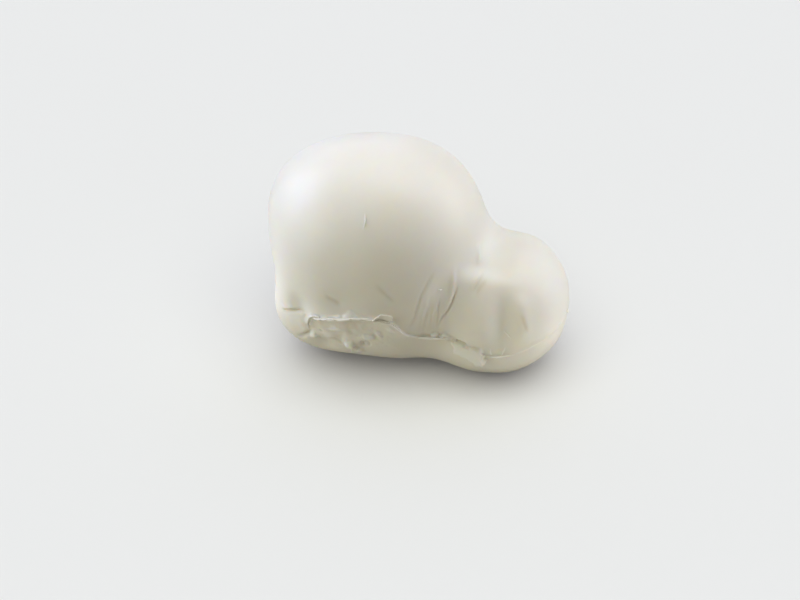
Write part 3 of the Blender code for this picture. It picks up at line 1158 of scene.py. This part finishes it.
@dataclass(frozen=True)
class CurdFinish:
    """Ivory curd that light sinks into; a finish for the skin, the lip or the threads."""

    name: str
    pale: tuple = (0.925, 0.905, 0.86)
    rich: tuple = (0.905, 0.88, 0.815)
    # Colour of the painted shade in the creases and over the pinched neck.
    painted_shade: tuple = (0.79, 0.75, 0.655)
    # Paler newly torn curd, and in part a painted highlight on raised lumps and torn patches.
    torn: tuple = (0.995, 0.98, 0.945)
    patch_scale: float = 38.0
    moist: float = 0.34
    dry: float = 0.5
    fibre_height: float = 0.6
    pit_height: float = 0.35
    bump_mm: float = 0.05
    bump_strength: float = 0.5
    sink: float = 1.0
    sink_radius: tuple = (1.0, 0.82, 0.6)
    sink_mm: float = 2.4
    coat: float = 0.04
    coat_roughness: float = 0.3
    ior: float = 1.42

    def material(self, groups: CurdGroups) -> bpy.types.Material:
        """Wire the material.

        Args:
            groups: The shared shader groups.

        Returns:
            The finished material.
        """
        made = bpy.data.materials.new(self.name)
        made.use_nodes = True
        net = Net(made.node_tree)
        place = net.add("TexCoord").outputs["Object"]
        tones = {"Vector": place, "Patch Scale": self.patch_scale}
        for label, kept in (("Crease Shade", CREASE_SHADE), ("Fresh And Lit", FRESH_AND_LIT)):
            tones[label] = net.add("Attribute", attribute_name=kept).outputs["Fac"]
        colours = {"Pale": self.pale, "Rich": self.rich, "Painted Shade": self.painted_shade, "Torn And Lit": self.torn}
        for label, colour in colours.items():
            tones[label] = (*colour, 1.0)
        mottle_and_light = net.add("Group", tones, node_tree=groups.mottle_and_light)
        patches = {"Vector": place, "Moist": self.moist, "Dry": self.dry}
        damp = net.add("Group", patches, node_tree=groups.damp)
        heights = {"Fibre Height": self.fibre_height, "Pit Height": self.pit_height}
        grain = net.add("Group", {"Vector": place, **heights}, node_tree=groups.grain)
        swell = {"Distance": self.bump_mm * MM, "Strength": self.bump_strength}
        bump = net.add("Bump", {"Height": grain.outputs["Height"], **swell})
        finish = {
            "Base Color": mottle_and_light.outputs["Color"],
            "Roughness": damp.outputs["Roughness"],
            "Normal": bump.outputs["Normal"],
            "Subsurface Weight": self.sink,
            "Subsurface Radius": self.sink_radius,
            "Subsurface Scale": self.sink_mm * MM,
            "Coat Weight": self.coat,
            "Coat Roughness": self.coat_roughness,
            "IOR": self.ior,
        }
        net.feed(net.tree.nodes["Principled BSDF"], finish)
        return made


@dataclass(frozen=True)
class FloorFinish:
    """Plain pale matt floor, faintly uneven, that throws back less light than it shows."""

    pale: tuple = (0.83, 0.825, 0.81)
    shade: tuple = (0.82, 0.815, 0.795)
    thrown: tuple = (0.43, 0.4, 0.32)
    roughness: float = 0.7
    specular: float = 0.2

    def material(self) -> bpy.types.Material:
        """Wire the material: the drifting colour for the eye, the thrown one for the light.

        Returns:
            The finished material.
        """
        made = bpy.data.materials.new("pale_floor")
        made.use_nodes = True
        net = Net(made.node_tree)
        place = net.add("TexCoord").outputs["Object"]
        slow = net.noise(place, scale=6.0, detail=2.0, roughness=0.5)
        drift = net.blend(slow, (*self.pale, 1.0), (*self.shade, 1.0))
        seen = net.add("LightPath").outputs["Is Camera Ray"]
        finish = {
            "Base Color": net.blend(seen, (*self.thrown, 1.0), drift),
            "Roughness": self.roughness,
            "Specular IOR Level": self.specular,
        }
        net.feed(net.tree.nodes["Principled BSDF"], finish)
        return made


# ---------------------------------------------------------------- pieces of the cheese


@dataclass(frozen=True)
class CheeseSkin:
    """The whole skin as one closed mesh, finest at the neck, the seam and the torn band."""

    relief: Relief
    rows: int = 345
    columns_over: int = 112
    columns_under: int = 172
    over_gather: float = 0.55
    under_start: float = 1.7
    under_bend: float = 1.8
    under_gather: float = 0.22
    neck_x: float = 17.0
    neck_reach: float = 16.0
    neck_gain: float = 0.9
    crease_shade_strength: float = 0.6
    walk_steps: int = 900
    walk_turns: int = 8

    def row_polars(self) -> Array:
        """Polar angles of the rows, evenly spaced along the skin and closer at the neck.

        The skin is walked from rear to tip at a few turns; each step counts for its mean
        length times a weight that rises at the neck, and the rows divide the sum evenly.

        Returns:
            One angle for each row.
        """
        polar = np.linspace(math.pi, 0.0, self.walk_steps)
        turns = np.linspace(0.0, math.tau, self.walk_turns, endpoint=False)
        points = self.relief.form.bare(*np.meshgrid(polar, turns, indexing="ij"))
        steps = np.linalg.norm(np.diff(points, axis=0), axis=-1).mean(axis=1)
        x = points[1:, :, 0].mean(axis=1)
        weight = 1.0 + self.neck_gain * np.exp(-(((x - self.neck_x) / self.neck_reach) ** 2))
        reached = np.concatenate(([0.0], np.cumsum(steps * weight)))
        stops = np.linspace(0.0, reached[-1], self.rows + 2)[1:-1]
        return np.interp(stops, reached, polar)

    def column_turns(self, polar: Array) -> Array:
        """Turn of every column on every row.

        Over the seam the columns gather at both ends. Under it they start wide on the far
        side and close up steadily towards the near side, where the torn band is.

        Args:
            polar: Polar angle of each row.

        Returns:
            The turns, one row of columns for each polar angle.
        """
        seam = self.relief.seam
        near = seam.turn(self.relief.form, polar, Side.NEAR)[:, None]
        far = seam.turn(self.relief.form, polar, Side.FAR)[:, None]
        over = np.arange(self.columns_over) / self.columns_over
        over = over - self.over_gather * np.sin(math.tau * over) / math.tau
        under = np.arange(self.columns_under) / self.columns_under
        gathered = self.under_gather * np.sin(math.tau * under) / math.tau
        slowed = (self.under_start - 1.0) * under**self.under_bend
        under = self.under_start * under - slowed - gathered
        above, below = near + (far - near) * over, far + (near + math.tau - far) * under
        return np.concatenate((above, below), axis=1)

    def build(self, finish: bpy.types.Material) -> bpy.types.Object:
        """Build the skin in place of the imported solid.

        Args:
            finish: Material of the skin.

        Returns:
            The skin's object.
        """
        form = self.relief.form
        polar = self.row_polars()
        turns = self.column_turns(polar)
        bare = form.bare(np.broadcast_to(polar[:, None], turns.shape), turns)
        rings = self.relief.dressed(bare)
        ends = form.bare(np.array([math.pi, 0.0]), np.zeros(2))
        item = closed_mesh("cheese_skin", [Shell(rings, self.relief.dressed(ends))])
        places = np.concatenate((bare.reshape(-1, 3), ends))
        # Painted shade in the creases, kept on the skin for its material to read.
        store(item, CREASE_SHADE, self.crease_shade_strength * self.relief.crease_shade_share(places))
        # Paler torn curd and painted highlight on the raised lumps and torn patches.
        store(item, FRESH_AND_LIT, self.relief.fresh_and_lit(places))
        item.data.materials.append(finish)
        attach(item, BODY_NAME)
        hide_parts(NODE)
        return item


@dataclass(frozen=True)
class SeamLip:
    """The thin ragged lip of curd squeezed out between the mould halves, all round."""

    relief: Relief
    stations: int = 1700
    height: float = 1.15
    least: float = 0.1
    sunk: float = 0.35
    root_half: float = 0.4
    edge_half: float = 0.15
    lean: float = 0.25
    curl: float = 0.5
    long_cell: float = 5.0
    short_cell: float = 1.3
    fringe_cell: float = 0.55
    even_share: float = 0.68
    long_share: float = 0.35
    short_share: float = 0.3
    fringe_share: float = 0.16
    lean_drift: float = 0.3
    curl_drift: float = 0.6
    hidden_under: float = 0.2
    root_share: float = 0.8
    walk_steps: int = 500
    lean_shift: float = 20.0
    short_shift: float = 40.0
    curl_shift: float = 60.0
    fringe_shift: float = 80.0
    grain: Grain = Grain(23)

    def root(self) -> Array:
        """Places on the bare form along the seam, evenly spaced, near side and then far.

        Returns:
            The places, three to a row.
        """
        seam = self.relief.seam
        form = self.relief.form
        polar = np.linspace(math.pi, 0.0, self.walk_steps)[1:-1]
        near = form.bare(polar, seam.turn(form, polar, Side.NEAR))
        far = form.bare(polar, seam.turn(form, polar, Side.FAR))
        return form.settle(looped(np.concatenate((near, far[::-1])), self.stations))

    def heights(self, bare: Array) -> Array:
        """How far the lip stands out: its strength times long, short and fringing noise.

        Args:
            bare: Places of the root.

        Returns:
            The lip's height at each place.
        """
        long = self.long_share * self.grain.at(bare, self.long_cell)
        short = self.short_share * self.grain.at(bare + self.short_shift, self.short_cell)
        fringe = self.fringe_share * self.grain.at(bare + self.fringe_shift, self.fringe_cell)
        ragged = self.even_share + long + short + fringe
        strength = self.relief.seam.strength(bare) - self.hidden_under
        strength = np.clip(strength, 0.0, None) / (1.0 - self.hidden_under)
        return self.height * strength * np.clip(ragged, self.least, None)

    def build(self, finish: bpy.types.Material) -> bpy.types.Object:
        """Build the lip along the whole seam.

        Args:
            finish: Material of the lip.

        Returns:
            The lip's object.
        """
        bare = self.root()
        path = self.relief.dressed(bare, -self.sunk)
        outward = self.relief.form.outward(bare)
        leaning = self.grain.at(bare + self.lean_shift, self.long_cell)
        curling = self.grain.at(bare + self.curl_shift, self.short_cell * 2.0)
        lean = self.lean + self.lean_drift * leaning
        curl = self.curl + self.curl_drift * curling
        height = self.heights(bare) + self.root_share * self.sunk
        half = (self.root_half, self.edge_half)
        shell = blade(path, outward, height, lean, curl, half, closed=True)
        item = closed_mesh("seam_lip", [shell])
        return dress(item, finish)


@dataclass(frozen=True)
class Shred:
    """A shred of curd: a tapering flattened strand that follows knots over the skin.

    Each knot is a place near the skin and a height over it. The blunt share of the width is
    there from the start; the rest swells up along the first part.
    """

    knots: tuple
    width: float
    depth: float
    blunt: float = 0.0
    swell_in: float = 0.3
    taper_out: float = 0.45
    ripple: float = 0.2
    ripple_turn: float = 9.0
    ripple_shift: float = 7.0
    end_share: float = 0.35
    thinnest: float = 0.06
    per_mm: float = 4.0

    def shell(self, relief: Relief) -> Shell:
        """The shred as a strand: half width is a blunted sine of the share along it.

        Args:
            relief: The skin that it lies on.

        Returns:
            The closed strand.
        """
        knots = np.array(self.knots, dtype=float)
        bare = relief.form.settle(knots[:, :3])
        placed = relief.dressed(bare, knots[:, 3])
        count = max(12, int(self.per_mm * walked(placed)[-1]))
        path = drawn(placed, count)
        outward = relief.form.outward(drawn(bare, count))
        share = np.linspace(0.0, 1.0, count)
        start = np.sqrt(np.clip(share / self.swell_in, 0.0, 1.0)) * (1.0 - self.blunt) + self.blunt
        end = np.sqrt(np.clip((1.0 - share) / self.taper_out, 0.0, 1.0))
        rippled = np.sin(self.ripple_turn * share + self.width * self.ripple_shift)
        swell = start * end * (1.0 + self.ripple * rippled)
        swell[[0, -1]] *= self.end_share
        swell = np.maximum(swell, self.thinnest)
        return strand(path, outward, self.width / 2.0 * swell, self.depth / 2.0 * swell)


@dataclass(frozen=True)
class Flake:
    """A thin sheet of curd that stands on a line along the skin.

    Each knot is a place near the skin, the sheet's height there, its lean and its curl.
    """

    knots: tuple
    lift: float = 0.5
    thick: float = 0.22
    drag: float = 0.0
    rim: float = 0.0
    ragged: float = 0.15
    ragged_cell: float = 1.1
    lowest: float = 0.05
    edge_share: float = 0.45
    per_mm: float = 8.0
    grain: Grain = Grain(3)

    def shell(self, relief: Relief) -> Shell:
        """The sheet as an open blade with a ragged edge.

        Args:
            relief: The skin that it stands on.

        Returns:
            The closed sheet.
        """
        knots = np.array(self.knots, dtype=float)
        count = max(24, int(self.per_mm * walked(knots)[-1]))
        laid = drawn(knots, count)
        bare = relief.form.settle(laid[:, :3])
        path = relief.dressed(bare, self.lift)
        outward = relief.form.outward(bare)
        uneven = 1.0 + self.ragged * self.grain.rough(bare, self.ragged_cell)
        height = np.maximum(laid[:, 3] * uneven, self.lowest)
        half = (self.thick, self.thick * self.edge_share)
        lean, curl = laid[:, 4], laid[:, 5]
        return blade(path, outward, height, lean, curl, half, False, self.drag, self.rim)


@dataclass(frozen=True)
class CurdBits:
    """A group of small pieces of curd of one kind, kept as one piece of the model."""

    name: str
    relief: Relief
    bits: tuple

    def build(self, finish: bpy.types.Material) -> bpy.types.Object:
        """Build all bits of the group as one mesh in the given finish."""
        shells = [bit.shell(self.relief) for bit in self.bits]
        return dress(closed_mesh(self.name, shells), finish)


LIP_FLAKES = (
    # The big flake on the lip: it rises to its right and bends out under a bright rim.
    Flake(((-4.2, -40.7, 37.0, 0.1, 1.1, 0.0), (-2.8, -40.4, 37.0, 1.6, 1.3, -0.2),
        (-1.4, -40.0, 36.9, 3.2, 1.42, -0.5), (-0.2, -39.7, 36.8, 3.6, 1.45, -0.6),
        (1.0, -39.3, 36.5, 3.7, 1.45, -0.6), (1.8, -39.0, 36.2, 3.3, 1.4, -0.6),
        (2.3, -38.9, 36.0, 1.8, 1.3, -0.5)), lift=0.6, thick=0.16, drag=-0.04, rim=0.5),
    # The lip's end, bent down beside the heel.
    Flake(((-24.2, -41.0, 33.9, 0.3, 0.3, 0.5), (-26.4, -40.5, 33.6, 0.8, 0.4, 0.4),
        (-28.2, -39.9, 32.4, 0.9, 0.4, 0.4), (-29.3, -39.3, 30.2, 0.8, 0.3, 0.4),
        (-30.0, -38.7, 27.6, 0.5, 0.2, 0.3), (-30.5, -38.2, 25.6, 0.2, 0.2, 0.4)), lift=0.0,
        thick=0.45),
    # The lip's thick pale cord.
    Shred(((-24.0, -41.0, 33.8, 0.6), (-20.0, -41.3, 34.6, 0.9), (-15.0, -41.6, 35.8, 0.9),
        (-11.0, -41.6, 36.8, 0.9), (-6.0, -41.0, 36.8, 0.8), (-2.0, -40.3, 36.5, 0.9),
        (1.8, -39.2, 35.4, 0.9), (4.6, -37.8, 32.4, 0.7), (7.4, -36.4, 29.0, 0.5),
        (11.4, -34.0, 26.7, 0.3)), 1.0, 0.9, blunt=0.5),
    # A tooth on the lip at the cheese's tip.
    Shred(((58.9, 0.2, 26.0, 0.0), (59.1, 1.8, 26.1, 0.4), (58.9, 3.4, 26.2, 0.0)), 0.7, 0.7),
)

CURD_THREADS = (
    # A bright scratch raised on the upper body, and a speck on the neck's fold.
    Shred(((-10.4, -29.7, 74.3, 0.1), (-9.7, -31.7, 72.1, 0.3), (-9.7, -33.4, 69.9, 0.25)), 0.45,
        0.7),
    Shred(((17.0, -28.7, 46.5, 0.1), (17.7, -28.5, 46.4, 0.5), (18.5, -28.2, 46.7, 0.5)), 0.7,
        0.6),
    # The lip's cord along the neck.
    Shred(((11.0, -33.6, 26.7, 0.3), (16.0, -31.0, 26.4, 0.7), (20.2, -29.2, 25.9, 0.5),
        (22.8, -28.4, 25.3, 0.3)), 0.9, 0.8),
    # Hairs of curd on the head and at its seam.
    Shred(((36.0, -28.0, 20.7, 0.3), (40.0, -27.2, 20.6, 0.5), (44.6, -26.0, 21.6, 0.6)), 0.45,
        0.5),
    Shred(((41.7, -26.2, 31.0, 0.15), (42.8, -26.0, 29.8, 0.4), (44.4, -25.7, 28.2, 0.15)), 0.4,
        0.4),
    Shred(((37.8, -27.5, 21.2, 0.2), (37.2, -27.9, 22.8, 0.7), (37.1, -27.9, 24.4, 1.0)), 0.5,
        0.4),
    Shred(((41.0, -26.7, 20.8, 0.2), (41.8, -26.6, 22.8, 0.6), (42.5, -26.6, 24.8, 0.8)), 0.5,
        0.4),
)


def dress(item: bpy.types.Object, finish: bpy.types.Material) -> bpy.types.Object:
    """Give a loose piece of curd its finish and let it ride with the cheese.

    Args:
        item: The piece.
        finish: Its material.

    Returns:
        The same piece.
    """
    item.data.materials.append(finish)
    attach(item, BODY_NAME)
    return item


# ---------------------------------------------------------------- studio


def toward(azimuth: float, elevation: float) -> Vector:
    """Unit direction by its angle round from -Y towards +X and its angle up, in degrees."""
    a, e = math.radians(azimuth), math.radians(elevation)
    return Vector((math.sin(a) * math.cos(e), -math.cos(a) * math.cos(e), math.sin(e)))


def hung(light: bpy.types.Light, place: Vector, aim: Vector) -> bpy.types.Object:
    """A light put in its place, which the camera doesn't see.

    Args:
        light: The light.
        place: Where it stands, in metres.
        aim: The direction it shines in.

    Returns:
        The light's object.
    """
    item = bpy.data.objects.new(light.name, light)
    bpy.context.scene.collection.objects.link(item)
    item.location = place
    item.rotation_euler = aim.to_track_quat("-Z", "Y").to_euler()
    item.visible_camera = False
    return item


@dataclass(frozen=True)
class Panel:
    """A rectangular light that shines evenly: its width and depth, its watts, its colour."""

    name: str
    size: tuple
    power: float
    tint: tuple

    def hang(self, place: Vector, aim: Vector) -> bpy.types.Object:
        """Make the light at its place, shining in the direction of its aim.

        Args:
            place: Where it stands, in metres.
            aim: The direction it shines in.

        Returns:
            The light's object.
        """
        light = bpy.data.lights.new(self.name, "AREA")
        light.shape = "RECTANGLE"
        light.size, light.size_y = self.size
        light.energy, light.color = self.power, self.tint
        return hung(light, place, aim)


class Falls(Enum):
    """What a light falls on, told by how the floor stands in its list of receivers."""

    ON_FLOOR_ALONE = "INCLUDE"
    NOT_ON_FLOOR = "EXCLUDE"


def restrict(light: bpy.types.Object, floor: bpy.types.Object, falls: Falls) -> None:
    """Let a light fall on the floor alone, or on everything but the floor.

    Args:
        light: The light.
        floor: The floor.
        falls: Which of the two it is to be.
    """
    receivers = bpy.data.collections.new(light.name + "_receivers")
    receivers.objects.link(floor)
    receivers.collection_objects[0].light_linking.link_state = falls.value
    light.light_linking.receiver_collection = receivers


@dataclass(frozen=True)
class SoftLight(Panel):
    """A large soft light, placed round the cheese by azimuth, elevation and distance."""

    azimuth: float
    elevation: float
    distance: float = 1.8

    def build(self, target: Vector) -> bpy.types.Object:
        """Place the light and aim it at the target."""
        away = toward(self.azimuth, self.elevation)
        return self.hang(target + away * self.distance, -away)


@dataclass(frozen=True)
class SkyLight:
    """A wide even light from far away, whose spread in degrees softens its shadow."""

    name: str
    azimuth: float
    elevation: float
    spread: float
    strength: float
    tint: tuple

    def build(self) -> bpy.types.Object:
        """Make the light.

        Returns:
            The light's object.
        """
        light = bpy.data.lights.new(self.name, "SUN")
        light.energy = self.strength
        light.angle = math.radians(self.spread)
        light.color = self.tint
        away = toward(self.azimuth, self.elevation)
        return hung(light, away, -away)


@dataclass(frozen=True)
class FloorCard(Panel):
    """A small card that lies on the floor by the cheese and throws light up at it."""

    place: tuple
    lift: float = 0.002

    def build(self) -> bpy.types.Object:
        """Lay the card just over the floor, facing up."""
        return self.hang(Vector((*self.place, CAD_LOW.z + self.lift)), Vector((0.0, 0.0, 1.0)))


CARD_TINT = (1.0, 0.98, 0.88)


@dataclass(frozen=True)
class Studio:
    """Plain pale floor, soft lights and the camera."""

    floor_radius: float = 6.0
    floor_thick: float = 0.05
    floor_rings: int = 24
    floor_around: int = 96
    lights: tuple = (
        SoftLight("top", (1.3, 1.3), 11.1, (1.0, 0.93, 0.73), 150.0, 82.0),
        SoftLight("right_back", (1.5, 2.2), 29.7, (0.89, 0.92, 1.0), 126.0, 40.0),
        SoftLight("left", (1.4, 1.3), 25.0, (0.64, 0.715, 1.0), 264.0, 26.0),
        SoftLight("left_front", (1.1, 1.1), 11.5, (1.0, 1.0, 0.81), 312.0, 20.0),
    )
    skies: tuple = (
        SkyLight("sky_front", 18.0, 70.0, 80.0, 1.42, (0.98, 1.0, 0.8)),
        SkyLight("sky_wide", 18.0, 89.0, 170.0, 2.2, (0.8, 0.83, 1.0)),
    )
    cards: tuple = (
        FloorCard("card_right", (0.05, 0.08), 0.0167, CARD_TINT, (0.1, -0.025)),
        FloorCard("card_front", (0.06, 0.06), 0.0097, CARD_TINT, (0.08, -0.065)),
        FloorCard("card_left", (0.05, 0.08), 0.0085, CARD_TINT, (-0.095, -0.03)),
    )
    world_seen: tuple = (0.86, 0.86, 0.86)
    world_light: tuple = (0.03, 0.02, 0.008)
    azimuth: float = 18.0
    elevation: float = 34.0
    distance: float = 0.669
    slide_right: float = -0.0066
    slide_up: float = -0.0183
    lens: float = 79.4
    sensor: float = 36.0

    def build(self) -> None:
        """Build the floor, the lights, the world and the camera."""
        centre = (CAD_LOW + CAD_HIGH) / 2.0
        floor = self.floor()
        for light in self.lights:
            restrict(light.build(centre), floor, Falls.NOT_ON_FLOOR)
        for sky in self.skies:
            restrict(sky.build(), floor, Falls.ON_FLOOR_ALONE)
        for card in self.cards:
            card.build()
        self.world()
        self.camera(centre)
        view = bpy.context.scene.view_settings
        view.view_transform = "Standard"
        view.look = "None"

    def floor(self) -> bpy.types.Object:
        """A round plate of rings about the cheese, level with its flat underside.

        Returns:
            The floor's object.
        """
        radii = self.floor_radius * np.linspace(0.0, 1.0, self.floor_rings + 1)[1:] ** 2
        angles = np.linspace(0.0, math.tau, self.floor_around, endpoint=False)
        rays = np.stack((np.cos(angles), np.sin(angles), np.zeros(len(angles))), axis=-1)
        top = radii[:, None, None] * rays + (0.0, 0.0, CAD_LOW.z)
        under = top[::-1] - (0.0, 0.0, self.floor_thick)
        middle = np.array([[0.0, 0.0, CAD_LOW.z], [0.0, 0.0, CAD_LOW.z - self.floor_thick]])
        plate = Shell(np.concatenate((top, under)) / MM, middle / MM)
        item = closed_mesh("studio_floor", [plate])
        item.data.materials.append(FloorFinish().material())
        return item

    def world(self) -> None:
        """A pale surround to the eye that gives only a little light."""
        world = bpy.data.worlds.new("studio_world")
        world.use_nodes = True
        net = Net(world.node_tree)
        net.tree.nodes.clear()
        seen = net.add("Background", {"Color": (*self.world_seen, 1.0)})
        light = net.add("Background", {"Color": (*self.world_light, 1.0)})
        eye = net.add("LightPath").outputs["Is Camera Ray"]
        mix = net.add("MixShader", {0: eye, 1: light.outputs[0], 2: seen.outputs[0]})
        net.add("OutputWorld", {"Surface": mix.outputs[0]})
        bpy.context.scene.world = world

    def camera(self, centre: Vector) -> None:
        """Look down on the cheese from the front, with the head a little nearer.

        Args:
            centre: Middle of the cheese's box.
        """
        back = toward(self.azimuth, self.elevation)
        right = Vector((0.0, 0.0, 1.0)).cross(back).normalized()
        up = back.cross(right)
        data = bpy.data.cameras.new("camera")
        data.lens = self.lens
        data.sensor_width = self.sensor
        item = bpy.data.objects.new("camera", data)
        bpy.context.scene.collection.objects.link(item)
        item.matrix_world = Matrix.Translation(
            centre + right * self.slide_right + up * self.slide_up + back * self.distance
        ) @ Matrix((right, up, back)).transposed().to_4x4()
        bpy.context.scene.camera = item


# ---------------------------------------------------------------- main


def main() -> None:
    """Build the cheese piece by piece, then the studio."""
    logging.basicConfig(level=logging.INFO, format="%(name)s: %(message)s")
    groups = CurdGroups()
    relief = Relief(Form(), Seam())
    skin_curd = CurdFinish("curd_skin").material(groups)
    torn_curd = CurdFinish(
        "curd_torn", pit_height=0.8, moist=0.4, dry=0.55, sink=0.0
    ).material(groups)
    # The threads' whiter curd is partly their own paler tone and partly a painted highlight for
    # the light they catch.
    lit_thread_curd = CurdFinish(
        "curd_thread_lit", pale=(0.98, 0.97, 0.94), rich=(0.96, 0.95, 0.91), moist=0.4, sink=0.0
    ).material(groups)
    pieces = [
        CheeseSkin(relief).build(skin_curd),
        SeamLip(relief).build(torn_curd),
        CurdBits("lip_flakes", relief, LIP_FLAKES).build(torn_curd),
        CurdBits("curd_threads", relief, CURD_THREADS).build(lit_thread_curd),
    ]
    for piece in pieces:
        log.info("%s: %d faces", piece.name, len(piece.data.polygons))
    Studio().build()
    log.info("studio built")


if __name__ == "__main__":
    main()
